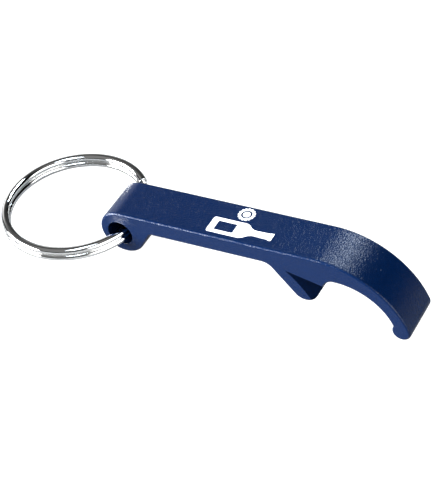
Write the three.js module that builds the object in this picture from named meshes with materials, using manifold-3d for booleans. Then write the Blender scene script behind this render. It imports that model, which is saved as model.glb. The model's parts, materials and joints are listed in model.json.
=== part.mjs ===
// Keychain bottle opener: a one-piece aluminium lever with an eye at one end, a cap tooth below
// and a hooked nose at the other end, and a steel split ring threaded through the eye.
//
// Millimetres, +Z up. The opener stands on its eye and its nose, as it does on a table, with the
// ring lying out to -X. The opener's own drawing has u along the bar (0 at the eye's hole) and
// v upwards (0 at the bar's top face); the drawing is then tilted until both feet touch z = 0.

import * as THREE from 'three';
import { mergeVertices } from 'three/addons/utils/BufferGeometryUtils.js';
import Module from 'manifold-3d';

const wasm = await Module();
wasm.setup();

// ---------------------------------------------------------------- driving dimensions

// lever
const barWidth = 10;             // across the lever, along Y
const barThickness = 3.7;        // between top face and underside
const edgeRounding = 0.45;       // tumbled edges all round
const cornerSteps = 3;           // facets of that rounding

// eye
const eyeRadius = 4.77;          // outside of the eye, flush with the top face
const holeRadius = 2.65;         // key ring hole
const holeSetback = 0.48;        // hole centre behind the eye's centre
const holeDrop = 0.21;           // hole centre below the eye's centre
const eyeBackAngle = 57;         // slope of the eye's back, degrees from the bar
const eyeFillet = 0.6;           // eye's back into the underside

// cap tooth
const toothRoot = 32.18;         // where the tooth's back leaves the underside, from the hole
const toothReach = 11.06;        // tip below the top face
const toothBackAngle = 52.3;     // back slope, degrees from the bar
const toothFrontAngle = 60.5;    // front slope, degrees from the bar
const toothTipRadius = 2.7;
const toothBackFillet = 2.6;     // tooth's back into the underside
const toothFrontFillet = 2.1;    // tooth's front into the mouth

// scoops milled into both sides of the tooth
const scoopStrip = 2.45;         // full-width strip left along the tooth's back
const scoopTop = 4.45;           // scoop's upper corner below the top face
const scoopTopAngle = 10;        // fall of the scoop's upper edge, degrees from the bar
const scoopFloorAngle = 27;      // slope of the scoop's floor from the side face, degrees

// nose
const noseStart = 42;            // where the top face begins to bend down, from the hole
const noseRadius = 18.9;         // outside bend
const noseSweep = 71.4;          // bend from the top face to the middle of the hook, degrees
const hookRadius = 1.85;         // round end of the hook
const mouthRadius = 11.5;        // inside bend
const mouthRoof = 4.72;          // highest point of the mouth below the top face
const hookStandoff = 1.136;      // centre of the hook's round end outside the inside bend
const hookFillet = 0.45;         // hook's round end into the inside bend

// split ring
const ringOuterDiameter = 30;
const wireWidth = 1.65;          // wire, across the ring
const wireHeight = 1.4;          // wire, along the ring's axis
const turnGap = 0.08;            // air between the two turns
const jogStart = 14;             // the wire steps from turn to turn between these two
const jogEnd = 44;               // angles round the ring, degrees from +X towards +Y
const wireEndGap = 0.25;         // air between a cut end and the stepping wire
const wireInset = 0.9;           // middle of the wire past the hole's centre, towards the bar
const wireClearance = 0.15;      // least air between the wire and the hole's wall

// facets
const arcStep = THREE.MathUtils.degToRad(6);        // arcs of the lever's outline
const ringStep = THREE.MathUtils.degToRad(5);       // along the wire
const holeFacets = 48;
const wireFacets = 14;           // round the wire's section
const shortestEdge = 0.01;       // outline corners closer than this are one

// ---------------------------------------------------------------- worked-out places, drawing u, v

const radians = THREE.MathUtils.degToRad;
const point = (u, v) => new THREE.Vector2(u, v);
const polar = (centre, radius, angle) =>
  point(centre.x + radius * Math.cos(angle), centre.y + radius * Math.sin(angle));

const hole = point(0, -eyeRadius - holeDrop);
const eye = point(holeSetback, -eyeRadius);
const underside = -barThickness;
const nose = point(noseStart, -noseRadius);
const hook = polar(nose, noseRadius - hookRadius, radians(90 - noseSweep));
const mouth = mouthBendCentre();

// centre of the inside bend: below the mouth's roof, and hookStandoff short of the hook's centre
function mouthBendCentre() {
  const centreV = -mouthRoof - mouthRadius;
  const toHook = mouthRadius + hookStandoff;
  const rise = hook.y - centreV;
  return point(hook.x - Math.sqrt(toHook * toHook - rise * rise), centreV);
}

// centre of a fillet between a sloping line (through start, rising by angle) and the underside
function underFillet(start, angle, radius) {
  const centreV = underside - radius;
  const along = (centreV - start.y) / Math.tan(angle);
  return point(start.x + along + radius / Math.sin(angle), centreV);
}

// ---------------------------------------------------------------- the lever's outline

// The outline runs anticlockwise as seen from -Y with u to the right and v up:
// top face to the left, round the eye, along the underside, round the tooth, through the mouth,
// round the hook and back over the nose.
function leverOutline() {
  const eyeBack = radians(eyeBackAngle);
  const toothBack = radians(toothBackAngle);
  const toothFront = radians(toothFrontAngle);

  // a line tangent to the eye, rising to the underside
  const eyeTangent = polar(eye, eyeRadius, eyeBack - Math.PI / 2);
  const eyeCorner = underFillet(eyeTangent, eyeBack, eyeFillet);

  // the tooth's back leaves the underside at toothRoot and falls to the tip's round
  const backFilletHalf = toothBackFillet * Math.tan(toothBack / 2);
  const backFillet = point(toothRoot - backFilletHalf, underside - toothBackFillet);
  const tipV = -toothReach + toothTipRadius;
  const fall = underside - tipV;
  const tip = point(
    toothRoot + fall / Math.tan(toothBack) + toothTipRadius / Math.sin(toothBack), tipV);

  // the fillet between the tooth's front and the mouth's inside bend
  const frontNormal = point(Math.sin(toothFront), -Math.cos(toothFront));
  const frontFillet = frontFilletCentre(tip, frontNormal);

  // the fillet between the inside bend and the hook's round end
  const hookCorner = circleMeet(mouth, mouthRadius - hookFillet, hook, hookRadius + hookFillet);

  const outline = new THREE.Path();
  outline.moveTo(noseStart, 0);
  outline.lineTo(eye.x, 0);
  arc(outline, eye, eyeRadius, Math.PI / 2, Math.PI * 3 / 2 + eyeBack);
  arc(outline, eyeCorner, eyeFillet, Math.PI / 2 + eyeBack, Math.PI / 2);
  arc(outline, backFillet, toothBackFillet, Math.PI / 2, Math.PI / 2 - toothBack);
  arc(outline, tip, toothTipRadius, -Math.PI / 2 - toothBack, -Math.PI / 2 + toothFront);
  arc(outline, frontFillet, toothFrontFillet, Math.PI / 2 + toothFront, bearing(mouth, frontFillet));
  arc(outline, mouth, mouthRadius, bearing(mouth, frontFillet), bearing(mouth, hookCorner));
  arc(outline, hookCorner, hookFillet, bearing(mouth, hookCorner), bearing(hookCorner, hook));
  arc(outline, hook, hookRadius, bearing(hook, hookCorner), bearing(nose, hook) + 2 * Math.PI);
  arc(outline, nose, noseRadius, bearing(nose, hook), Math.PI / 2);
  return outline.getPoints(1);
}

// centre of the circle that touches the tooth's front from outside and the inside bend from within
function frontFilletCentre(tip, frontNormal) {
  const offset = toothTipRadius + toothFrontFillet;
  const toMouth = point(mouth.x - tip.x, mouth.y - tip.y);
  const across = toMouth.dot(frontNormal) - offset;
  const reach = mouthRadius - toothFrontFillet;
  const along = Math.sqrt(reach * reach - across * across);
  const upSlope = point(-frontNormal.y, frontNormal.x);
  return mouth.clone()
    .addScaledVector(frontNormal, -across)
    .addScaledVector(upSlope, along);
}

// the upper left meeting point of two circles
function circleMeet(a, radiusA, b, radiusB) {
  const gap = a.distanceTo(b);
  const along = (radiusA * radiusA - radiusB * radiusB + gap * gap) / (2 * gap);
  const across = Math.sqrt(radiusA * radiusA - along * along);
  const towards = point((b.x - a.x) / gap, (b.y - a.y) / gap);
  return point(a.x + along * towards.x - across * towards.y,
    a.y + along * towards.y + across * towards.x);
}

function bearing(from, to) {
  return Math.atan2(to.y - from.y, to.x - from.x);
}

// an arc as chords of about arcStep, anticlockwise where the end angle is larger
function arc(path, centre, radius, start, end) {
  const steps = Math.max(2, Math.ceil(Math.abs(end - start) / arcStep));
  for (let i = 0; i <= steps; i += 1) {
    const corner = polar(centre, radius, start + (end - start) * i / steps);
    const last = path.currentPoint;
    if (last.distanceTo(corner) > shortestEdge) path.lineTo(corner.x, corner.y);
  }
}

// ---------------------------------------------------------------- solids

const weldDistance = 1e-4;

function toManifold(geometry) {
  geometry.deleteAttribute('normal');
  geometry.deleteAttribute('uv');
  const merged = mergeVertices(geometry, weldDistance);
  return new wasm.Manifold(new wasm.Mesh({
    numProp: 3,
    vertProperties: new Float32Array(merged.attributes.position.array),
    triVerts: new Uint32Array(merged.index.array),
  }));
}

function toGeometry(solid) {
  const { vertProperties, triVerts } = solid.getMesh();
  const geometry = new THREE.BufferGeometry();
  geometry.setAttribute('position', new THREE.BufferAttribute(vertProperties, 3));
  geometry.setIndex(new THREE.BufferAttribute(triVerts, 1));
  const faceted = geometry.toNonIndexed();
  faceted.computeVertexNormals();
  return faceted;
}

// the lever's slab with rounded edges, centred on Y = 0 with v along +Z
function leverSlab() {
  const shape = new THREE.Shape(leverOutline());
  const slab = new THREE.ExtrudeGeometry(shape, {
    depth: barWidth - 2 * edgeRounding,
    bevelThickness: edgeRounding,
    bevelSize: edgeRounding,
    bevelOffset: -edgeRounding,
    bevelSegments: cornerSteps,
  });
  slab.translate(0, 0, -barWidth / 2 + edgeRounding);
  slab.rotateX(Math.PI / 2);
  return slab;
}

// the drill for the key ring's hole, along Y and longer than the lever is wide
function holeDrill() {
  const drill = new THREE.CylinderGeometry(holeRadius, holeRadius, 2 * barWidth, holeFacets);
  drill.translate(hole.x, 0, hole.y);
  return toManifold(drill);
}

// One scoop's cutter on the -Y side. Its floor starts at the side face along the strip and
// deepens towards the mouth; its wall follows the scoop's upper edge, square to the floor.
// The cutter spills past the side face and past the tooth's front, into the mouth.
function scoopCutter() {
  const back = radians(toothBackAngle);
  const floor = radians(scoopFloorAngle);
  const opening = back - radians(scoopTopAngle);
  const stripV = -scoopTop;
  const stripU = toothRoot + (underside - stripV) / Math.tan(back) + scoopStrip / Math.sin(back);

  const downStrip = new THREE.Vector3(Math.cos(back), 0, -Math.sin(back));
  const offStrip = new THREE.Vector3(Math.sin(back), 0, Math.cos(back));
  const inward = new THREE.Vector3(0, 1, 0);
  const deeper = offStrip.clone().multiplyScalar(Math.cos(floor))
    .addScaledVector(inward, Math.sin(floor));
  const outward = new THREE.Vector3().crossVectors(downStrip, deeper);

  const spill = 2;
  const reach = mouth.x - stripU + spill;
  const wall = point(Math.cos(opening), Math.sin(opening) * Math.cos(floor)).setLength(reach);
  const plan = new THREE.Shape([
    point(0, 0), point(-spill, -spill), point(reach, -spill), point(reach, wall.y), wall]);
  const cutter = new THREE.ExtrudeGeometry(plan, { depth: barWidth, bevelEnabled: false });
  const place = new THREE.Matrix4().makeBasis(downStrip, deeper, outward);
  place.setPosition(stripU, -barWidth / 2, stripV);
  cutter.applyMatrix4(place);
  return toManifold(cutter);
}

function openerBody() {
  const cutter = scoopCutter();
  const farCutter = cutter.mirror([0, 1, 0]);
  const solid = toManifold(leverSlab())
    .subtract(holeDrill())
    .subtract(cutter)
    .subtract(farCutter);
  const body = new THREE.Mesh(toGeometry(solid), new THREE.MeshStandardMaterial({
    color: 0x1b2d5f, metalness: 0.9, roughness: 0.38,
  }));
  body.name = 'opener_body';
  return body;
}

// ---------------------------------------------------------------- split ring

const ringRadius = (ringOuterDiameter - wireWidth) / 2;
const turnRise = (wireHeight + turnGap) / 2;
const lowestInHole = Math.sqrt((holeRadius - wireClearance - wireWidth / 2) ** 2 - wireInset ** 2);
const wireSag = lowestInHole - turnRise;     // middle of the two turns below the hole's centre

// The middle of the wire: once round on the upper turn, a step down, once round on the lower.
class WireRoute extends THREE.Curve {
  constructor() {
    super();
    this.trim = wireEndGap / ringRadius;
    this.first = radians(jogEnd) + this.trim;
    this.last = radians(jogStart) + 4 * Math.PI - this.trim;
  }

  angle(t) {
    return this.first + (this.last - this.first) * t;
  }

  rise(angle) {
    const stepBegin = radians(jogStart) + 2 * Math.PI;
    const stepEnd = radians(jogEnd) + 2 * Math.PI;
    return turnRise * (1 - 2 * THREE.MathUtils.smoothstep(angle, stepBegin, stepEnd));
  }

  getPoint(t, target = new THREE.Vector3()) {
    const angle = this.angle(t);
    return target.set(ringRadius * Math.cos(angle), ringRadius * Math.sin(angle), this.rise(angle));
  }

  // the section keeps its width square to the ring's axis all along the wire
  computeFrenetFrames(segments) {
    const tangents = [];
    const normals = [];
    const binormals = [];
    for (let i = 0; i <= segments; i += 1) {
      const t = this.getUtoTmapping(i / segments);
      const angle = this.angle(t);
      const tangent = this.getTangent(t);
      const across = new THREE.Vector3(Math.cos(angle), Math.sin(angle), 0);
      tangents.push(tangent);
      normals.push(across);
      binormals.push(new THREE.Vector3().crossVectors(tangent, across));
    }
    return { tangents, normals, binormals };
  }
}

function splitRing() {
  const section = new THREE.Shape();
  section.absellipse(0, 0, wireWidth / 2, wireHeight / 2, 0, 2 * Math.PI, false);
  const route = new WireRoute();
  const steps = Math.round((route.last - route.first) / ringStep);
  const wire = new THREE.ExtrudeGeometry(section, {
    steps, curveSegments: wireFacets / 2, extrudePath: route,
  });
  const ring = new THREE.Mesh(toGeometry(toManifold(wire)), new THREE.MeshStandardMaterial({
    color: 0xd4d6d8, metalness: 1, roughness: 0.12,
  }));
  ring.name = 'split_ring';
  return ring;
}

// ---------------------------------------------------------------- assembly

// angle that brings the eye's and the hook's lowest points to one level
function leverTilt() {
  return Math.asin((hookRadius - eyeRadius) / eye.distanceTo(hook)) - bearing(eye, hook);
}

function bottleOpener() {
  const tilt = leverTilt();
  const lever = new THREE.Group();
  lever.rotation.y = -tilt;
  lever.add(openerBody());

  const holeCentre = new THREE.Vector3(hole.x, 0, hole.y).applyEuler(lever.rotation);
  const eyeCentre = new THREE.Vector3(eye.x, 0, eye.y).applyEuler(lever.rotation);
  const ground = eyeCentre.z - eyeRadius;

  // the ring hangs in the hole and dips until its far side lies on the ground
  const farReach = 2 * ringRadius - wireInset;
  const farDepth = wireSag + turnRise + wireHeight / 2;
  const pivotHeight = holeCentre.z - ground;
  const dip = Math.asin(pivotHeight / Math.hypot(farReach, farDepth)) - Math.atan2(farDepth, farReach);
  const ring = splitRing();
  ring.position.set(wireInset - ringRadius, 0, -wireSag);
  const swing = new THREE.Group();
  swing.position.copy(holeCentre);
  swing.rotation.y = -dip;
  swing.add(ring);

  const opener = new THREE.Group();
  opener.add(lever, swing);
  opener.updateMatrixWorld(true);
  const bounds = new THREE.Box3().setFromObject(opener, true);
  const middle = bounds.getCenter(new THREE.Vector3());
  opener.position.set(-middle.x, 0, -bounds.min.z);
  opener.updateMatrixWorld(true);
  return opener;
}

export default bottleOpener();
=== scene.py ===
"""Keychain bottle opener: the finished lever, its printed mark and its split ring, on a pale stage."""

import json
import math
from collections import namedtuple

import bmesh
import bpy
from bpy.props import FloatProperty, FloatVectorProperty, IntProperty, PointerProperty
from mathutils import Matrix, Vector


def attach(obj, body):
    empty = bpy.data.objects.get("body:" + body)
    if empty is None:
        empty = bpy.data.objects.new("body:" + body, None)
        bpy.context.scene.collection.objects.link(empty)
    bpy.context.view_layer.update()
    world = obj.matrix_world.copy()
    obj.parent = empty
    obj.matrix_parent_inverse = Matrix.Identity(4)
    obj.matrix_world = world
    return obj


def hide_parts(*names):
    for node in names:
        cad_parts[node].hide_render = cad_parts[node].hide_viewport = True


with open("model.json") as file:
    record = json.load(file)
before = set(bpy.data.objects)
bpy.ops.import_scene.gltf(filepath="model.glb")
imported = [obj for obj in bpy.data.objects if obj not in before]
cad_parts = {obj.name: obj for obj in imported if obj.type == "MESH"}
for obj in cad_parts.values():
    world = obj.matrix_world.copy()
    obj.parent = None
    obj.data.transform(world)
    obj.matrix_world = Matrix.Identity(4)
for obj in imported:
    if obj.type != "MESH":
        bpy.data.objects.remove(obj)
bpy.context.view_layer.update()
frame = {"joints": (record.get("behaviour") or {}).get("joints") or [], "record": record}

bl_info = {
    "name": "Keychain Bottle Opener",
    "version": (1, 0, 0),
    "blender": (4, 5, 0),
    "location": "View3D > Sidebar > Bottle Opener",
    "description": "Models a keychain bottle opener and its split ring on their packed frame",
    "category": "Add Mesh",
}

MM = 0.001
QUARTER = math.pi / 2
SWING = frame["joints"][0]
TOP_FACE = next(m for m in frame["record"]["mounts"] if m["name"] == "top_face")
ARC_STEP = math.radians(3)      # facets of the drawn arcs
MERGE = 0.001 * MM              # corners closer than this are one


# ---------------------------------------------------------------- sizes and colours


class LeverSizes(bpy.types.PropertyGroup):
    """Sizes of the lever, as in its drawing: along the bar from the hole, and down from the top face"""

    bar_width: FloatProperty(
        name="Bar width", description="Across the lever", default=10 * MM, unit="LENGTH")
    bar_thickness: FloatProperty(
        name="Bar thickness", description="Top face to underside", default=3.7 * MM, unit="LENGTH")
    edge_rounding: FloatProperty(
        name="Edge rounding", description="Radius of the tumbled edges", default=0.45 * MM, unit="LENGTH")
    eye_radius: FloatProperty(
        name="Eye radius", description="Outside of the eye", default=4.77 * MM, unit="LENGTH")
    hole_radius: FloatProperty(
        name="Hole radius", description="Hole for the split ring", default=2.65 * MM, unit="LENGTH")
    hole_rounding: FloatProperty(
        name="Hole rounding", description="Radius of the hole's rims", default=0.16 * MM, unit="LENGTH")
    hole_setback: FloatProperty(
        name="Hole setback", description="Hole behind the eye's centre", default=0.48 * MM, unit="LENGTH")
    hole_drop: FloatProperty(
        name="Hole drop", description="Hole below the eye's centre", default=0.21 * MM, unit="LENGTH")
    eye_back_angle: FloatProperty(
        name="Eye back angle", description="Slope of the eye's back from the bar",
        default=math.radians(57), unit="ROTATION")
    eye_fillet: FloatProperty(
        name="Eye fillet", description="Eye's back into the underside", default=0.6 * MM, unit="LENGTH")
    tooth_root: FloatProperty(
        name="Tooth root", description="Where the tooth leaves the underside, from the hole",
        default=32.18 * MM, unit="LENGTH")
    tooth_reach: FloatProperty(
        name="Tooth reach", description="Tip below the top face", default=11.06 * MM, unit="LENGTH")
    tooth_back_angle: FloatProperty(
        name="Tooth back angle", description="Back slope from the bar",
        default=math.radians(52.3), unit="ROTATION")
    tooth_front_angle: FloatProperty(
        name="Tooth front angle", description="Front slope from the bar",
        default=math.radians(60.5), unit="ROTATION")
    tooth_tip_radius: FloatProperty(
        name="Tooth tip radius", description="Round end of the tooth", default=2.7 * MM, unit="LENGTH")
    tooth_back_fillet: FloatProperty(
        name="Tooth back fillet", description="Tooth's back into the underside",
        default=2.6 * MM, unit="LENGTH")
    tooth_front_fillet: FloatProperty(
        name="Tooth front fillet", description="Tooth's front into the mouth",
        default=2.1 * MM, unit="LENGTH")
    nose_start: FloatProperty(
        name="Nose start", description="Where the top face begins to bend, from the hole",
        default=42 * MM, unit="LENGTH")
    nose_radius: FloatProperty(
        name="Nose radius", description="Outside bend of the nose", default=18.9 * MM, unit="LENGTH")
    nose_sweep: FloatProperty(
        name="Nose sweep", description="Bend from the top face to the hook",
        default=math.radians(71.4), unit="ROTATION")
    hook_radius: FloatProperty(
        name="Hook radius", description="Round end of the hook", default=1.85 * MM, unit="LENGTH")
    hook_standoff: FloatProperty(
        name="Hook standoff", description="Hook's centre outside the inside bend",
        default=1.136 * MM, unit="LENGTH")
    hook_fillet: FloatProperty(
        name="Hook fillet", description="Hook into the inside bend", default=0.45 * MM, unit="LENGTH")
    mouth_radius: FloatProperty(
        name="Mouth radius", description="Inside bend of the nose", default=11.5 * MM, unit="LENGTH")
    mouth_roof: FloatProperty(
        name="Mouth roof", description="Mouth's highest point below the top face",
        default=4.72 * MM, unit="LENGTH")


class ScoopSizes(bpy.types.PropertyGroup):
    """Sizes of the scoops milled into the tooth's sides"""

    sweep_radius: FloatProperty(
        name="Sweep radius", description="Radius of the scoop's lower edge",
        default=25.47 * MM, unit="LENGTH")
    sweep_along: FloatProperty(
        name="Sweep centre along", description="Centre of that radius from the hole, along the bar",
        default=18.23 * MM, unit="LENGTH")
    sweep_down: FloatProperty(
        name="Sweep centre down", description="Centre of that radius below the top face",
        default=22.86 * MM, unit="LENGTH")
    floor_angle: FloatProperty(
        name="Floor angle", description="Slope of the floor from the side face",
        default=math.radians(27), unit="ROTATION")
    wall_angle: FloatProperty(
        name="Wall angle", description="Fall of the upper edge from the bar",
        default=math.radians(13.8), unit="ROTATION")
    wall_start: FloatProperty(
        name="Wall start", description="Upper edge below the top face, at its near end",
        default=4.45 * MM, unit="LENGTH")
    wall_along: FloatProperty(
        name="Wall along", description="Near end of the upper edge from the hole",
        default=36.0 * MM, unit="LENGTH")
    burr: FloatProperty(
        name="Burr", description="Broken edge left by the cutter", default=0.07 * MM, unit="LENGTH")


class RingSizes(bpy.types.PropertyGroup):
    """Sizes of the split ring"""

    outer_diameter: FloatProperty(
        name="Outer diameter", description="Across the ring", default=30 * MM, unit="LENGTH")
    wire_width: FloatProperty(
        name="Wire width", description="Wire across the ring", default=1.65 * MM, unit="LENGTH")
    wire_height: FloatProperty(
        name="Wire height", description="Wire along the ring's axis", default=1.4 * MM, unit="LENGTH")
    turn_gap: FloatProperty(
        name="Turn gap", description="Air between the two turns", default=0.08 * MM, unit="LENGTH")
    jog_start: FloatProperty(
        name="Jog start", description="Where the wire begins to step between turns",
        default=math.radians(14), unit="ROTATION")
    jog_end: FloatProperty(
        name="Jog end", description="Where the step ends", default=math.radians(44), unit="ROTATION")
    wire_end_gap: FloatProperty(
        name="Wire end gap", description="Air between a cut end and the step",
        default=0.25 * MM, unit="LENGTH")
    wire_inset: FloatProperty(
        name="Wire inset", description="Wire past the hole's centre", default=0.9 * MM, unit="LENGTH")
    wire_clearance: FloatProperty(
        name="Wire clearance", description="Least air between wire and hole",
        default=0.15 * MM, unit="LENGTH")
    end_rounding: FloatProperty(
        name="End rounding", description="Rounding of the cut ends", default=0.12 * MM, unit="LENGTH")


class MarkSizes(bpy.types.PropertyGroup):
    """Sizes of the printed mark: a lying bottle and a crown cap above it"""

    film: FloatProperty(
        name="Film", description="Height of the ink above the top face", default=0.025 * MM, unit="LENGTH")
    bottle_foot: FloatProperty(
        name="Bottle foot", description="Foot of the bottle, from the hole",
        default=19.1 * MM, unit="LENGTH")
    bottle_length: FloatProperty(
        name="Bottle length", description="Foot to lip", default=13.2 * MM, unit="LENGTH")
    bottle_width: FloatProperty(
        name="Bottle width", description="Across the bottle's body", default=4.1 * MM, unit="LENGTH")
    bottle_offset: FloatProperty(
        name="Bottle offset", description="Bottle's middle from the bar's middle, across the bar",
        default=-1.75 * MM, unit="LENGTH")
    cap_radius: FloatProperty(
        name="Cap radius", description="Crown cap's outside", default=1.75 * MM, unit="LENGTH")
    cap_along: FloatProperty(
        name="Cap along", description="Crown cap's centre from the hole", default=24.7 * MM, unit="LENGTH")
    cap_offset: FloatProperty(
        name="Cap offset", description="Crown cap's centre from the bar's middle, across the bar",
        default=2.6 * MM, unit="LENGTH")
    cap_flutes: IntProperty(
        name="Cap flutes", description="Flutes round the crown cap", default=15)


class Finishes(bpy.types.PropertyGroup):
    """Colours and grain of the finishes"""

    anodising: FloatVectorProperty(
        name="Anodising", description="Dyed oxide", subtype="COLOR", size=3,
        default=(0.0003, 0.0062, 0.031))
    nickel: FloatVectorProperty(
        name="Nickel", description="Plated wire", subtype="COLOR", size=3,
        default=(0.83, 0.83, 0.82))
    ink: FloatVectorProperty(
        name="Ink", description="Printed mark", subtype="COLOR", size=3, default=(0.92, 0.93, 0.95))
    floor: FloatVectorProperty(
        name="Floor", description="Surface it stands on", subtype="COLOR", size=3,
        default=(0.30, 0.30, 0.30))
    grain: FloatProperty(
        name="Grain", description="Spacing of the blasted dimples", default=0.25 * MM, unit="LENGTH")
    relief: FloatProperty(
        name="Relief", description="Depth of the blasted dimples", default=0.09 * MM, unit="LENGTH")


class StageSettings(bpy.types.PropertyGroup):
    """Where the camera stands"""

    aim: FloatVectorProperty(
        name="Aim", description="Point in the middle of the view", subtype="TRANSLATION", size=3,
        default=(4.11 * MM, -2.84 * MM, 6.67 * MM))
    distance: FloatProperty(
        name="Distance", description="Camera to aim", default=326.45 * MM, unit="LENGTH")
    azimuth: FloatProperty(
        name="Azimuth", description="Camera round the object", default=math.radians(30.983), unit="ROTATION")
    elevation: FloatProperty(
        name="Elevation", description="Camera above the floor", default=math.radians(44.103), unit="ROTATION")
    roll: FloatProperty(
        name="Roll", description="Camera turned about its view", default=math.radians(-5.113),
        unit="ROTATION")
    lens: FloatProperty(
        name="Lens", description="Focal length on a 36 mm frame, in millimetres", default=125.7)


# ---------------------------------------------------------------- drawing


Arc = namedtuple("Arc", "centre radius start end")


def polar(centre, radius, angle):
    return centre + radius * Vector((math.cos(angle), math.sin(angle)))


def bearing(a, b):
    return math.atan2(b.y - a.y, b.x - a.x)


def deselect_everything():
    """Nothing selected and no edit mode, so that the next operator acts on new geometry only."""
    if bpy.context.object and bpy.context.object.mode != "OBJECT":
        bpy.ops.object.mode_set(mode="OBJECT")
    bpy.ops.object.select_all(action="DESELECT")


def draw_outline(name, arcs, depth=0.0):
    """A closed face in an XZ plane, drawn with a pen: arcs by spin, and straight lines between them."""
    deselect_everything()
    bpy.ops.mesh.primitive_plane_add(size=MM)
    piece = bpy.context.object
    piece.name = piece.data.name = name
    bpy.ops.object.mode_set(mode="EDIT")
    bpy.ops.mesh.select_mode(type="VERT")
    bpy.ops.mesh.select_all(action="SELECT")
    bpy.ops.mesh.merge(type="CENTER")
    pen = polar(arcs[0].centre, arcs[0].radius, arcs[0].start)
    bpy.ops.transform.translate(value=(pen.x, depth, pen.y))
    for arc in arcs:
        begin = polar(arc.centre, arc.radius, arc.start)
        draw_line(pen, begin)
        draw_arc(arc, depth)
        pen = polar(arc.centre, arc.radius, arc.end)
    draw_line(pen, polar(arcs[0].centre, arcs[0].radius, arcs[0].start))
    bpy.ops.mesh.select_all(action="SELECT")
    bpy.ops.mesh.remove_doubles(threshold=MERGE)
    bpy.ops.mesh.edge_face_add()
    return piece


def draw_line(start, end):
    step = end - start
    if step.length > 2 * MERGE:
        bpy.ops.mesh.extrude_vertices_move(TRANSFORM_OT_translate={"value": (step.x, 0, step.y)})


def draw_arc(arc, depth):
    sweep = arc.end - arc.start
    steps = max(2, math.ceil(abs(sweep) / ARC_STEP))
    bpy.ops.mesh.spin(
        steps=steps, angle=abs(sweep), center=(arc.centre.x, depth, arc.centre.y),
        axis=(0, 1, 0) if sweep > 0 else (0, -1, 0))


def extrude_selected(offset):
    bpy.ops.mesh.select_mode(type="FACE")
    bpy.ops.mesh.extrude_region_move(TRANSFORM_OT_translate={"value": offset})


def close_shell():
    """Doubles merged and every face pointing outwards."""
    bpy.ops.mesh.select_all(action="SELECT")
    bpy.ops.mesh.remove_doubles(threshold=MERGE / 2)
    bpy.ops.mesh.normals_make_consistent(inside=False)


def select_edges(piece, wanted):
    """Selects the edges for which wanted(edge) is true, in edit mode."""
    bpy.ops.mesh.select_mode(type="EDGE")
    bpy.ops.mesh.select_all(action="DESELECT")
    shape = bmesh.from_edit_mesh(piece.data)
    for edge in shape.edges:
        if wanted(edge):
            edge.select_set(True)
    bmesh.update_edit_mesh(piece.data)


def activate(piece):
    deselect_everything()
    piece.select_set(True)
    bpy.context.view_layer.objects.active = piece


def cut(piece, cutter):
    """Takes the cutter's volume out of the piece, and the cutter away."""
    activate(piece)
    modifier = piece.modifiers.new("Cut", "BOOLEAN")
    modifier.operation = "DIFFERENCE"
    modifier.solver = "EXACT"
    modifier.object = cutter
    bpy.ops.object.modifier_apply(modifier=modifier.name)
    bpy.data.objects.remove(cutter)


def smooth(piece, angle):
    activate(piece)
    bpy.ops.object.shade_smooth_by_angle(angle=angle)


def keep_flats(piece):
    """Smooth shading with the broad faces kept flat."""
    activate(piece)
    modifier = piece.modifiers.new("Flats", "WEIGHTED_NORMAL")
    modifier.mode = "FACE_AREA"
    modifier.weight = 100
    modifier.keep_sharp = True
    bpy.ops.object.modifier_apply(modifier=modifier.name)


def settle(piece, place):
    """Puts the piece in its place and leaves its object at the origin."""
    activate(piece)
    piece.matrix_world = place @ piece.matrix_world
    bpy.ops.object.transform_apply(location=True, rotation=True, scale=True)


# ---------------------------------------------------------------- places worked out from the sizes


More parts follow.
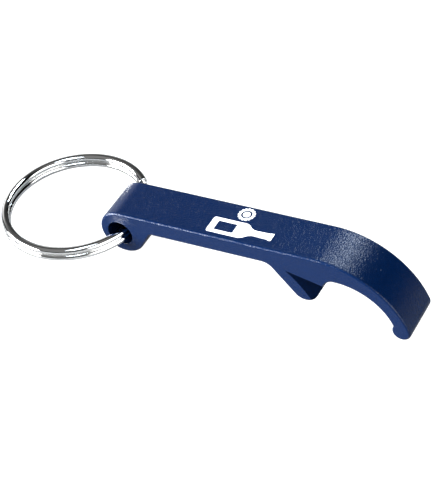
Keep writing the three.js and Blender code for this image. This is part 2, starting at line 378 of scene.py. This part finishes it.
class LeverPlan:
    """Centres of the lever's arcs, in its drawing: x along the bar from the hole, y up from the top face."""

    def __init__(self, s):
        self.s = s
        self.underside = -s.bar_thickness
        self.hole = Vector((0, -s.eye_radius - s.hole_drop))
        self.eye = Vector((s.hole_setback, -s.eye_radius))
        self.nose = Vector((s.nose_start, -s.nose_radius))
        self.hook = polar(self.nose, s.nose_radius - s.hook_radius, math.pi / 2 - s.nose_sweep)
        self.mouth = self.mouth_centre()
        self.tip = self.tip_centre()
        self.eye_corner = self.eye_corner_centre()
        self.back_fillet = Vector((
            s.tooth_root - s.tooth_back_fillet * math.tan(s.tooth_back_angle / 2),
            self.underside - s.tooth_back_fillet))
        self.front_fillet = self.front_fillet_centre()
        self.hook_corner = self.hook_corner_centre()

    def mouth_centre(self):
        s = self.s
        height = -s.mouth_roof - s.mouth_radius
        rise = self.hook.y - height
        return Vector((self.hook.x - math.sqrt((s.mouth_radius + s.hook_standoff) ** 2 - rise ** 2), height))

    def tip_centre(self):
        s = self.s
        height = -s.tooth_reach + s.tooth_tip_radius
        run = (self.underside - height) / math.tan(s.tooth_back_angle)
        return Vector((s.tooth_root + run + s.tooth_tip_radius / math.sin(s.tooth_back_angle), height))

    def eye_corner_centre(self):
        s = self.s
        tangent = polar(self.eye, s.eye_radius, s.eye_back_angle - math.pi / 2)
        height = self.underside - s.eye_fillet
        run = (height - tangent.y) / math.tan(s.eye_back_angle)
        return Vector((tangent.x + run + s.eye_fillet / math.sin(s.eye_back_angle), height))

    def front_fillet_centre(self):
        s = self.s
        normal = Vector((math.sin(s.tooth_front_angle), -math.cos(s.tooth_front_angle)))
        up_slope = Vector((math.cos(s.tooth_front_angle), math.sin(s.tooth_front_angle)))
        across = (self.mouth - self.tip).dot(normal) - s.tooth_tip_radius - s.tooth_front_fillet
        along = math.sqrt((s.mouth_radius - s.tooth_front_fillet) ** 2 - across ** 2)
        return self.mouth - across * normal + along * up_slope

    def hook_corner_centre(self):
        s = self.s
        a, b = self.mouth, self.hook
        radius_a, radius_b = s.mouth_radius - s.hook_fillet, s.hook_radius + s.hook_fillet
        gap = (b - a).length
        along = (radius_a ** 2 - radius_b ** 2 + gap ** 2) / (2 * gap)
        across = math.sqrt(radius_a ** 2 - along ** 2)
        towards = (b - a) / gap
        return a + along * towards + across * Vector((-towards.y, towards.x))

    def outline(self):
        """Anticlockwise from the eye, as seen with the bar's length to the right."""
        s = self.s
        back, front, eye_back = s.tooth_back_angle, s.tooth_front_angle, s.eye_back_angle
        into_mouth = bearing(self.mouth, self.front_fillet)
        out_of_mouth = bearing(self.mouth, self.hook_corner)
        onto_hook = bearing(self.hook_corner, self.hook)
        off_hook = bearing(self.nose, self.hook)
        return [
            Arc(self.eye, s.eye_radius, QUARTER, 3 * QUARTER + eye_back),
            Arc(self.eye_corner, s.eye_fillet, QUARTER + eye_back, QUARTER),
            Arc(self.back_fillet, s.tooth_back_fillet, QUARTER, QUARTER - back),
            Arc(self.tip, s.tooth_tip_radius, -QUARTER - back, -QUARTER + front),
            Arc(self.front_fillet, s.tooth_front_fillet, QUARTER + front, into_mouth),
            Arc(self.mouth, s.mouth_radius, into_mouth, out_of_mouth),
            Arc(self.hook_corner, s.hook_fillet, out_of_mouth, onto_hook),
            Arc(self.hook, s.hook_radius, onto_hook - math.pi, off_hook),
            Arc(self.nose, s.nose_radius, off_hook, QUARTER),
        ]


def lever_place(plan):
    """From the drawing to the object: the hole on the swing's axis, the top face at its mount's tilt."""
    up = Vector(TOP_FACE["axis"]).normalized()
    along = Vector((up.z, 0, -up.x))
    pivot = Vector(SWING["pos_m"])
    turn = Matrix((along, (0, 1, 0), up)).transposed().to_4x4()
    return Matrix.Translation(pivot) @ turn @ Matrix.Translation((0, 0, -plan.hole.y))


# ---------------------------------------------------------------- lever


# The second slot's colour is painted shade: a darkened copy of the anodising, worn by the scoops and the
# hole's bore.
BLASTED, MILLED_SHADED = 0, 1      # the lever's material slots


def wear(piece, finishes, finish):
    """Gives a piece the lever's finishes, with one of them on every face."""
    piece.data.materials.clear()
    for material in finishes:
        piece.data.materials.append(material)
    piece.data.polygons.foreach_set("material_index", [finish] * len(piece.data.polygons))


def lever_slab(plan, finishes):
    """The lever's outline, filled, drawn out to the bar's width, rounded, and drilled at the eye."""
    s = plan.s
    slab = draw_outline("opener_lever", plan.outline(), -s.bar_width / 2)
    extrude_selected((0, s.bar_width, 0))
    close_shell()
    bpy.ops.object.mode_set(mode="OBJECT")
    wear(slab, finishes, BLASTED)
    side = s.bar_width / 2 - MERGE

    def on_rim(edge):
        a, b = (v.co.y for v in edge.verts)
        return abs(a) > side and abs(b) > side and a * b > 0

    def on_hole_rim(edge):
        reach = s.hole_radius + 10 * MERGE
        return on_rim(edge) and all(
            (Vector((v.co.x, v.co.z)) - plan.hole).length < reach for v in edge.verts)

    round_edges(slab, on_rim, s.edge_rounding, 6)
    deselect_everything()
    bpy.ops.mesh.primitive_cylinder_add(
        vertices=120, radius=s.hole_radius, depth=2 * s.bar_width,
        location=(plan.hole.x, 0, plan.hole.y), rotation=(math.pi / 2, 0, 0))
    drill = bpy.context.object
    # The bore takes the milled finish, whose darkened blue is painted shade in the hole.
    wear(drill, finishes, MILLED_SHADED)
    cut(slab, drill)
    round_edges(slab, on_hole_rim, s.hole_rounding, 3)
    return slab


def round_edges(piece, wanted, radius, segments):
    """Rounds the edges for which wanted(edge) is true."""
    activate(piece)
    bpy.ops.object.mode_set(mode="EDIT")
    select_edges(piece, wanted)
    bpy.ops.mesh.bevel(
        offset=radius, offset_type="OFFSET", segments=segments, profile=0.5, affect="EDGES",
        clamp_overlap=False)
    bpy.ops.object.mode_set(mode="OBJECT")


def scoop_cutter(s, scoop):
    """A ring-shaped cutter with a sloping floor, spun past the tooth and cut off along the scoop's wall."""
    deselect_everything()
    spill = 1.5 * MM            # cutter standing out past the side face
    reach = 9 * MM              # cutter past its lower edge, clear of the tooth
    slope = math.tan(scoop.floor_angle)
    centre = Vector((scoop.sweep_along, 0, -scoop.sweep_down))
    side = -s.bar_width / 2
    first, last = math.radians(12), math.radians(62)    # its travel about that centre
    profile = [
        (scoop.sweep_radius - spill / slope, side - spill),
        (scoop.sweep_radius + reach, side + reach * slope),
        (scoop.sweep_radius + reach, side - spill),
    ]
    bpy.ops.mesh.primitive_circle_add(vertices=3, radius=MM, fill_type="NGON")
    cutter = bpy.context.object
    cutter.name = "scoop_cutter"
    outward = Vector((math.cos(first), 0, math.sin(first)))
    for vertex, (radius, depth) in zip(cutter.data.vertices, profile):
        vertex.co = centre + radius * outward + Vector((0, depth, 0))
    bpy.ops.object.mode_set(mode="EDIT")
    bpy.ops.mesh.select_all(action="SELECT")
    bpy.ops.mesh.spin(
        steps=36, angle=last - first, center=tuple(centre), axis=(0, 1, 0))
    close_shell()
    wall = Vector((scoop.wall_along, 0, -scoop.wall_start))
    up = Vector((math.sin(scoop.wall_angle), 0, math.cos(scoop.wall_angle)))
    bpy.ops.mesh.bisect(
        plane_co=tuple(wall), plane_no=tuple(up), use_fill=True, clear_outer=True)
    close_shell()
    bpy.ops.object.mode_set(mode="OBJECT")
    return cutter


def mill_scoops(slab, s, scoop, finishes):
    """Takes a scoop out of both sides of the tooth and breaks its sharp edges."""
    near = scoop_cutter(s, scoop)
    # The scoops take the milled finish, whose darkened blue is painted shade on their floors.
    wear(near, finishes, MILLED_SHADED)
    activate(near)
    bpy.ops.object.duplicate()
    far = bpy.context.object
    bpy.ops.object.mode_set(mode="EDIT")
    bpy.ops.mesh.select_all(action="SELECT")
    bpy.ops.transform.mirror(constraint_axis=(False, True, False), center_override=(0, 0, 0))
    close_shell()
    cut(slab, near)
    cut(slab, far)
    activate(slab)
    modifier = slab.modifiers.new("Burr", "BEVEL")
    modifier.width = scoop.burr
    modifier.segments = 2
    modifier.limit_method = "ANGLE"
    modifier.angle_limit = math.radians(24)
    modifier.use_clamp_overlap = True
    bpy.ops.object.modifier_apply(modifier=modifier.name)


class OPENER_OT_lever(bpy.types.Operator):
    """Models the lever: outline, hole, rounded rims and the scoops in its tooth"""

    bl_idname = "opener.lever"
    bl_label = "Lever"

    def execute(self, context):
        sizes = context.scene.opener_lever
        plan = LeverPlan(sizes)
        colours = context.scene.opener_finishes
        # The second finish is the darkened copy of the anodising, which is painted shade for the scoops and
        # the bore.
        finishes = (anodised_aluminium(colours), shaded_milled_aluminium(colours))
        lever = lever_slab(plan, finishes)
        mill_scoops(lever, sizes, context.scene.opener_scoops, finishes)
        activate(lever)
        bpy.ops.object.mode_set(mode="EDIT")
        close_shell()
        bpy.ops.object.mode_set(mode="OBJECT")
        smooth(lever, math.radians(28))
        keep_flats(lever)
        settle(lever, lever_place(plan))
        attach(lever, "opener")
        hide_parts("opener_body")
        return {"FINISHED"}


# ---------------------------------------------------------------- printed mark


def bottle_outline(s):
    """A bottle on its side, foot to the left, drawn anticlockwise."""
    half = s.bottle_width / 2
    neck = 0.36 * half
    corner = 0.45 * MM
    foot, lip = s.bottle_foot, s.bottle_foot + s.bottle_length
    shoulder = 1.9 * MM
    throat = 2.2 * MM
    lip_length, lip_half = 0.75 * MM, neck + 0.22 * MM
    turn = math.acos((shoulder + throat - (half - neck)) / (shoulder + throat))
    run = (shoulder + throat) * math.sin(turn)
    neck_start = lip - 3.6 * MM
    shoulder_start = neck_start - run
    small = 0.12 * MM
    return [
        Arc(Vector((lip - small, lip_half - small)), small, 0, QUARTER),
        Arc(Vector((lip - lip_length + small, lip_half - small)), small, QUARTER, 2 * QUARTER),
        Arc(Vector((neck_start, neck + throat)), throat, -QUARTER, -QUARTER - turn),
        Arc(Vector((shoulder_start, half - shoulder)), shoulder, QUARTER - turn, QUARTER),
        Arc(Vector((foot + corner, half - corner)), corner, QUARTER, 2 * QUARTER),
        Arc(Vector((foot + corner, corner - half)), corner, 2 * QUARTER, 3 * QUARTER),
        Arc(Vector((shoulder_start, shoulder - half)), shoulder, -QUARTER, -QUARTER + turn),
        Arc(Vector((neck_start, -neck - throat)), throat, QUARTER + turn, QUARTER),
        Arc(Vector((lip - lip_length + small, small - lip_half)), small, 2 * QUARTER, 3 * QUARTER),
        Arc(Vector((lip - small, small - lip_half)), small, -QUARTER, 0),
    ]


def cap_outline(s):
    """A crown cap from above: flutes round a circle, drawn anticlockwise."""
    flutes = s.cap_flutes
    pitch = 2 * math.pi / flutes
    flute = 0.22 * MM
    half_sweep = 1.35
    ring = s.cap_radius - flute
    centre = Vector((s.cap_along, s.cap_offset))
    arcs = []
    for i in range(flutes):
        towards = i * pitch
        arcs.append(Arc(polar(centre, ring, towards), flute, towards - half_sweep, towards + half_sweep))
    return arcs


def box_outline(left, right, half, corner):
    """A rectangle with rounded corners about the drawing's middle line, drawn anticlockwise."""
    return [
        Arc(Vector((right - corner, half - corner)), corner, 0, QUARTER),
        Arc(Vector((left + corner, half - corner)), corner, QUARTER, 2 * QUARTER),
        Arc(Vector((left + corner, corner - half)), corner, 2 * QUARTER, 3 * QUARTER),
        Arc(Vector((right - corner, corner - half)), corner, -QUARTER, 0),
    ]


def disc_outline(s, radius):
    """A circle about the crown cap's centre, in two halves."""
    centre = Vector((s.cap_along, s.cap_offset))
    return [Arc(centre, radius, 0, math.pi), Arc(centre, radius, math.pi, 2 * math.pi)]


def lay_ink(name, arcs, s, window=None):
    """A film of ink with the given outline, and perhaps a bare window in it, lying on the top face."""
    film = draw_outline(name, arcs)
    extrude_selected((0, -s.film, 0))
    close_shell()
    bpy.ops.object.mode_set(mode="OBJECT")
    if window:
        gap = draw_outline(name + "_window", window, s.film)
        extrude_selected((0, -3 * s.film, 0))
        close_shell()
        bpy.ops.object.mode_set(mode="OBJECT")
        cut(film, gap)
    sunk = s.film / 5           # its lower face below the top face, so that no gap shows
    settle(film, Matrix.Translation((0, 0, -sunk)) @ Matrix.Rotation(-QUARTER, 4, "X"))
    return film


class OPENER_OT_mark(bpy.types.Operator):
    """Prints a plain pictogram on the top face: a lying bottle with a crown cap above it"""

    bl_idname = "opener.mark"
    bl_label = "Printed mark"

    def execute(self, context):
        sizes = context.scene.opener_mark
        plan = LeverPlan(context.scene.opener_lever)
        ink = printed_ink(context.scene.opener_finishes)
        label_start = sizes.bottle_foot + 1.3 * MM
        label_length = 4 * MM
        label = box_outline(label_start, label_start + label_length, half=1.25 * MM, corner=0.3 * MM)
        bottle = lay_ink("bottle_print", bottle_outline(sizes), sizes, label)
        settle(bottle, Matrix.Translation((0, sizes.bottle_offset, 0)))
        bare_ring = disc_outline(sizes, 0.64 * sizes.cap_radius)
        cap = lay_ink("cap_print", cap_outline(sizes), sizes, bare_ring)
        middle = lay_ink("cap_middle", disc_outline(sizes, 0.42 * sizes.cap_radius), sizes)
        activate(cap)
        middle.select_set(True)
        bpy.ops.object.join()
        for film in (bottle, cap):
            settle(film, lever_place(plan))
            film.data.materials.clear()
            film.data.materials.append(ink)
            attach(film, "opener")
        return {"FINISHED"}


# ---------------------------------------------------------------- split ring


class OPENER_OT_ring(bpy.types.Operator):
    """Winds the split ring: two turns of wire with a step between them and two cut ends"""

    bl_idname = "opener.ring"
    bl_label = "Split ring"

    def execute(self, context):
        s = context.scene.opener_ring
        ring = wind_wire(s)
        smooth(ring, math.radians(40))
        settle(ring, ring_place(s, context.scene.opener_lever))
        ring.data.materials.clear()
        ring.data.materials.append(bright_nickel(context.scene.opener_finishes))
        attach(ring, "ring")
        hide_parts("split_ring")
        return {"FINISHED"}


def wind_wire(s):
    """A section of wire, spun once round, stepped down and spun once round again."""
    radius = (s.outer_diameter - s.wire_width) / 2
    rise = (s.wire_height + s.turn_gap) / 2
    trim = s.wire_end_gap / radius
    jog_steps = 24
    jog = s.jog_end - s.jog_start
    turn = 2 * math.pi - jog - trim
    deselect_everything()
    bpy.ops.mesh.primitive_circle_add(
        vertices=40, radius=1, fill_type="NGON", location=(radius, 0, rise), rotation=(math.pi / 2, 0, 0))
    wire = bpy.context.object
    wire.name = wire.data.name = "key_ring"
    wire.scale = (s.wire_width / 2, s.wire_height / 2, 1)
    bpy.ops.object.transform_apply(location=True, rotation=True, scale=True)
    wire.rotation_euler.z = s.jog_end + trim
    bpy.ops.object.transform_apply(location=True, rotation=True, scale=True)
    bpy.ops.object.mode_set(mode="EDIT")
    bpy.ops.mesh.select_all(action="SELECT")
    bpy.ops.mesh.select_mode(type="FACE")
    axis = {"center": (0, 0, 0), "axis": (0, 0, -1)}
    bpy.ops.mesh.spin(steps=120, angle=turn, **axis)
    height = rise
    for i in range(1, jog_steps + 1):
        t = i / jog_steps
        level = rise * (1 - 2 * t * t * (3 - 2 * t))
        bpy.ops.mesh.spin(steps=1, angle=jog / jog_steps, **axis)
        bpy.ops.transform.translate(value=(0, 0, level - height))
        height = level
    bpy.ops.mesh.spin(steps=120, angle=turn, **axis)
    close_shell()

    def on_cut_end(edge):
        return any(len(face.verts) > 4 for face in edge.link_faces)

    select_edges(wire, on_cut_end)
    bpy.ops.mesh.bevel(offset=s.end_rounding, segments=3, profile=0.5, affect="EDGES")
    bpy.ops.object.mode_set(mode="OBJECT")
    return wire


def ring_place(s, lever):
    """Low in the hole, a little towards the bar, dipping until the far side lies on the floor."""
    radius = (s.outer_diameter - s.wire_width) / 2
    rise = (s.wire_height + s.turn_gap) / 2
    lowest = math.sqrt((lever.hole_radius - s.wire_clearance - s.wire_width / 2) ** 2 - s.wire_inset ** 2)
    sag = lowest - rise
    reach = 2 * radius - s.wire_inset
    depth = lowest + s.wire_height / 2
    pivot = Vector(SWING["pos_m"])
    dip = math.asin(pivot.z / math.hypot(reach, depth)) - math.atan2(depth, reach)
    return (Matrix.Translation(pivot) @ Matrix.Rotation(-dip, 4, "Y")
            @ Matrix.Translation((s.wire_inset - radius, 0, -sag)))


# ---------------------------------------------------------------- materials


class Nodes:
    """A material's nodes, added and joined by name."""

    def __init__(self, name):
        self.material = bpy.data.materials.new(name)
        self.material.use_nodes = True
        self.tree = self.material.node_tree
        self.shader = self.tree.nodes["Principled BSDF"]
        self.place = self.add("ShaderNodeTexCoord").outputs["Object"]

    def add(self, kind):
        return self.tree.nodes.new(kind)

    def join(self, output, socket):
        self.tree.links.new(output, socket)

    def noise(self, spacing, detail):
        node = self.add("ShaderNodeTexNoise")
        node.inputs["Scale"].default_value = 1 / spacing
        node.inputs["Detail"].default_value = detail
        self.join(self.place, node.inputs["Vector"])
        return node.outputs["Fac"]

    def spread(self, value, to_low, to_high):
        """A noise's middle range, spread between two values."""
        node = self.add("ShaderNodeMapRange")
        node.inputs["From Min"].default_value = 0.3
        node.inputs["From Max"].default_value = 0.7
        node.inputs["To Min"].default_value = to_low
        node.inputs["To Max"].default_value = to_high
        self.join(value, node.inputs["Value"])
        return node.outputs["Result"]

    def mottle(self, colour, darkest, lightest, noise):
        """A colour that drifts between two brightnesses, on the shader's base colour."""
        node = self.add("ShaderNodeMix")
        node.data_type = "RGBA"
        ends = [socket for socket in node.inputs if socket.type == "RGBA"]
        for socket, brightness in zip(ends, (darkest, lightest)):
            socket.default_value = (*(Vector(colour) * brightness), 1)
        self.join(noise, node.inputs["Factor"])
        result = next(socket for socket in node.outputs if socket.type == "RGBA")
        self.join(result, self.shader.inputs["Base Color"])

    def bump(self, height, distance):
        node = self.add("ShaderNodeBump")
        node.inputs["Distance"].default_value = distance
        self.join(height, node.inputs["Height"])
        return node.outputs["Normal"]


def anodised_aluminium(f):
    """Blasted and dyed aluminium: a matt blue under a thin clear oxide, with fine bright dimples."""
    m = Nodes("anodised_aluminium")
    m.mottle(f.anodising, 0.9, 1.1, m.noise(2.4 * MM, 3))
    m.shader.inputs["Specular IOR Level"].default_value = 0.10
    m.shader.inputs["Specular Tint"].default_value = (0.10, 0.35, 1.0, 1)
    m.join(m.spread(m.noise(0.5 * MM, 3), 0.34, 0.44), m.shader.inputs["Roughness"])
    m.shader.inputs["Coat Weight"].default_value = 1.0
    m.shader.inputs["Coat Roughness"].default_value = 0.07
    m.shader.inputs["Coat IOR"].default_value = 1.24
    dimples = m.bump(m.noise(f.grain, 1.5), f.relief)
    m.join(dimples, m.shader.inputs["Normal"])
    m.join(dimples, m.shader.inputs["Coat Normal"])
    return m.material


def shaded_milled_aluminium(f):
    """Cutter-finished and dyed, with faint chatter, and darker than the blasted faces: the anodising's blue
    at 0.12 to 0.5 of itself, painted shade for the scoops' floors and the hole's bore.
    """
    m = Nodes("shaded_milled_aluminium")
    # Painted shade: the anodising's colour darkened to 0.12 to 0.5 of itself and mottled at random, so that
    # the recessed scoops and bore read as shaded.
    m.mottle(f.anodising, 0.12, 0.5, m.noise(0.5 * MM, 3))
    m.shader.inputs["Roughness"].default_value = 0.4
    m.shader.inputs["Specular IOR Level"].default_value = 0.03
    m.join(m.bump(m.noise(0.3 * MM, 2), 0.01 * MM), m.shader.inputs["Normal"])
    return m.material


def bright_nickel(f):
    """Bright nickel plating with a little haze and slow waves."""
    m = Nodes("bright_nickel")
    m.mottle(f.nickel, 0.97, 1.03, m.noise(3 * MM, 3))
    m.shader.inputs["Metallic"].default_value = 1.0
    m.join(m.spread(m.noise(0.8 * MM, 3), 0.03, 0.09), m.shader.inputs["Roughness"])
    m.join(m.bump(m.noise(2.5 * MM, 1), 0.012 * MM), m.shader.inputs["Normal"])
    return m.material


def printed_ink(f):
    """Matt white ink, a little uneven."""
    m = Nodes("printed_ink")
    m.mottle(f.ink, 0.9, 1.0, m.noise(0.35 * MM, 4))
    m.shader.inputs["Roughness"].default_value = 0.5
    m.join(m.bump(m.noise(0.12 * MM, 2), 0.004 * MM), m.shader.inputs["Normal"])
    return m.material


def pale_floor(f):
    """Pale and matt, lit from within for the camera alone so that no shadow greys it, clear from below."""
    m = Nodes("pale_floor")
    m.mottle(f.floor, 0.995, 1.0, m.noise(40 * MM, 2))
    m.shader.inputs["Roughness"].default_value = 0.9
    m.shader.inputs["Specular IOR Level"].default_value = 0.0
    m.shader.inputs["Emission Color"].default_value = (1, 1, 1, 1)
    seen = m.add("ShaderNodeLightPath").outputs["Is Camera Ray"]
    m.join(seen, m.shader.inputs["Emission Strength"])
    one_sided = m.add("ShaderNodeMixShader")
    m.join(m.add("ShaderNodeNewGeometry").outputs["Backfacing"], one_sided.inputs[0])
    m.join(m.shader.outputs["BSDF"], one_sided.inputs[1])
    m.join(m.add("ShaderNodeBsdfTransparent").outputs["BSDF"], one_sided.inputs[2])
    m.join(one_sided.outputs["Shader"], m.tree.nodes["Material Output"].inputs["Surface"])
    return m.material


# ---------------------------------------------------------------- stage


# Strips of light: name, direction from the object, size in metres (the first one level), and watts.
STRIPS = (
    ("overhead", (-0.02, -0.28, 0.94), (0.16, 0.30), 1.4),
    ("behind", (-0.05, 0.64, 0.77), (0.09, 0.22), 3.0),
)
STRIP_DISTANCE = 0.6
DAYLIGHT = (0.78, 0.89, 1.0)        # a slightly blue white
FLOOR_SIDE = 3.0


def strip_light(name, direction, size, power):
    """A soft rectangular light that faces the object and isn't seen itself."""
    light = bpy.data.lights.new(name, "AREA")
    light.shape = "RECTANGLE"
    light.size, light.size_y = size
    light.energy = power
    light.color = DAYLIGHT
    lamp = bpy.data.objects.new(name, light)
    towards = Vector(direction).normalized()
    lamp.location = towards * STRIP_DISTANCE
    lamp.rotation_euler = towards.to_track_quat("Z", "Y").to_euler()
    lamp.visible_camera = False
    bpy.context.scene.collection.objects.link(lamp)


# Patches of the studio's walls: direction, half angles in degrees where the patch is full and where it
# ends, and what it adds to the brightness, or the share that it takes away.
BRIGHT_PATCHES = (
    ((-0.82, -0.57, 0.06), 10, 30, 74.0),
    ((-0.75, 0.60, 0.25), 8, 25, 1.4),
    ((0.88, -0.30, 0.30), 12, 34, 7.0),
)
DARK_PATCHES = (
    ((-0.42, 0.64, 0.65), 16, 36, 0.80),
    ((0.45, 0.64, 0.60), 28, 48, 0.98),
)
CEILING = 0.22          # brightness overhead
HORIZON = 0.013         # brightness of the walls
HORIZON_TOP = 10        # degrees above the floor at which the walls end
CEILING_START = 30      # degrees above the floor at which the ceiling begins


class World:
    """The studio's walls: brightness by direction."""

    def __init__(self):
        world = bpy.data.worlds.new("studio")
        bpy.context.scene.world = world
        world.use_nodes = True
        self.tree = world.node_tree
        self.facing = self.tree.nodes.new("ShaderNodeTexCoord").outputs["Generated"]

    def ramp(self, value, start, end, low, high):
        node = self.tree.nodes.new("ShaderNodeMapRange")
        node.interpolation_type = "SMOOTHSTEP"
        names = ("From Min", "From Max", "To Min", "To Max")
        for name, number in zip(names, (start, end, low, high)):
            node.inputs[name].default_value = number
        self.tree.links.new(value, node.inputs["Value"])
        return node.outputs["Result"]

    def patch(self, direction, full, end, low, high):
        """low outside the patch and high in it."""
        dot = self.tree.nodes.new("ShaderNodeVectorMath")
        dot.operation = "DOT_PRODUCT"
        dot.inputs[1].default_value = Vector(direction).normalized()
        self.tree.links.new(self.facing, dot.inputs[0])
        return self.ramp(
            dot.outputs["Value"], math.cos(math.radians(end)), math.cos(math.radians(full)), low, high)

    def combine(self, operation, first, second):
        node = self.tree.nodes.new("ShaderNodeMath")
        node.operation = operation
        self.tree.links.new(first, node.inputs[0])
        self.tree.links.new(second, node.inputs[1])
        return node.outputs["Value"]


def studio_world():
    """A studio with dim walls, a brighter ceiling, and bright and dark patches."""
    world = World()
    split = world.tree.nodes.new("ShaderNodeSeparateXYZ")
    world.tree.links.new(world.facing, split.inputs["Vector"])
    brightness = world.ramp(
        split.outputs["Z"], math.sin(math.radians(HORIZON_TOP)), math.sin(math.radians(CEILING_START)),
        HORIZON, CEILING)
    for direction, full, end, amount in BRIGHT_PATCHES:
        brightness = world.combine("ADD", brightness, world.patch(direction, full, end, 0, amount))
    for direction, full, end, share in DARK_PATCHES:
        brightness = world.combine("MULTIPLY", brightness, world.patch(direction, full, end, 1, 1 - share))
    background = world.tree.nodes["Background"]
    background.inputs["Color"].default_value = (1, 1, 1, 1)
    world.tree.links.new(brightness, background.inputs["Strength"])


class OPENER_OT_stage(bpy.types.Operator):
    """Lays the floor, hangs the lights and sets up the camera"""

    bl_idname = "opener.stage"
    bl_label = "Stage"

    def execute(self, context):
        s = context.scene.opener_stage
        deselect_everything()
        bpy.ops.mesh.primitive_plane_add(size=FLOOR_SIDE)
        floor = context.object
        floor.name = "floor"
        floor.data.materials.append(pale_floor(context.scene.opener_finishes))
        studio_world()
        for strip in STRIPS:
            strip_light(*strip)
        context.scene.view_settings.view_transform = "Standard"

        camera_data = bpy.data.cameras.new("camera")
        camera = bpy.data.objects.new("camera", camera_data)
        context.scene.collection.objects.link(camera)
        back = Vector((
            math.sin(s.azimuth) * math.cos(s.elevation),
            -math.cos(s.azimuth) * math.cos(s.elevation),
            math.sin(s.elevation)))
        turn = (-back).to_track_quat("-Z", "Y").to_matrix().to_4x4() @ Matrix.Rotation(s.roll, 4, "Z")
        camera.matrix_world = Matrix.Translation(Vector(s.aim) + back * s.distance) @ turn
        camera_data.sensor_width = 36
        camera_data.lens = s.lens
        camera_data.clip_start, camera_data.clip_end = 0.01, 10
        context.scene.camera = camera
        return {"FINISHED"}


# ---------------------------------------------------------------- panel and registration


class OPENER_PT_panel(bpy.types.Panel):
    """Lists the operators that build the opener"""

    bl_idname = "OPENER_PT_panel"
    bl_label = "Bottle Opener"
    bl_space_type = "VIEW_3D"
    bl_region_type = "UI"
    bl_category = "Bottle Opener"

    def draw(self, context):
        column = self.layout.column()
        for operator in OPERATORS:
            column.operator(operator.bl_idname)


OPERATORS = (OPENER_OT_stage, OPENER_OT_lever, OPENER_OT_mark, OPENER_OT_ring)
GROUPS = {
    "opener_lever": LeverSizes,
    "opener_scoops": ScoopSizes,
    "opener_ring": RingSizes,
    "opener_mark": MarkSizes,
    "opener_finishes": Finishes,
    "opener_stage": StageSettings,
}
CLASSES = (*GROUPS.values(), *OPERATORS, OPENER_PT_panel)


def register():
    for cls in CLASSES:
        bpy.utils.register_class(cls)
    for name, group in GROUPS.items():
        setattr(bpy.types.Scene, name, PointerProperty(type=group))


def unregister():
    for name in GROUPS:
        delattr(bpy.types.Scene, name)
    for cls in reversed(CLASSES):
        bpy.utils.unregister_class(cls)


def main():
    register()
    bpy.ops.opener.stage()
    bpy.ops.opener.lever()
    bpy.ops.opener.mark()
    bpy.ops.opener.ring()


if __name__ == "__main__":
    main()
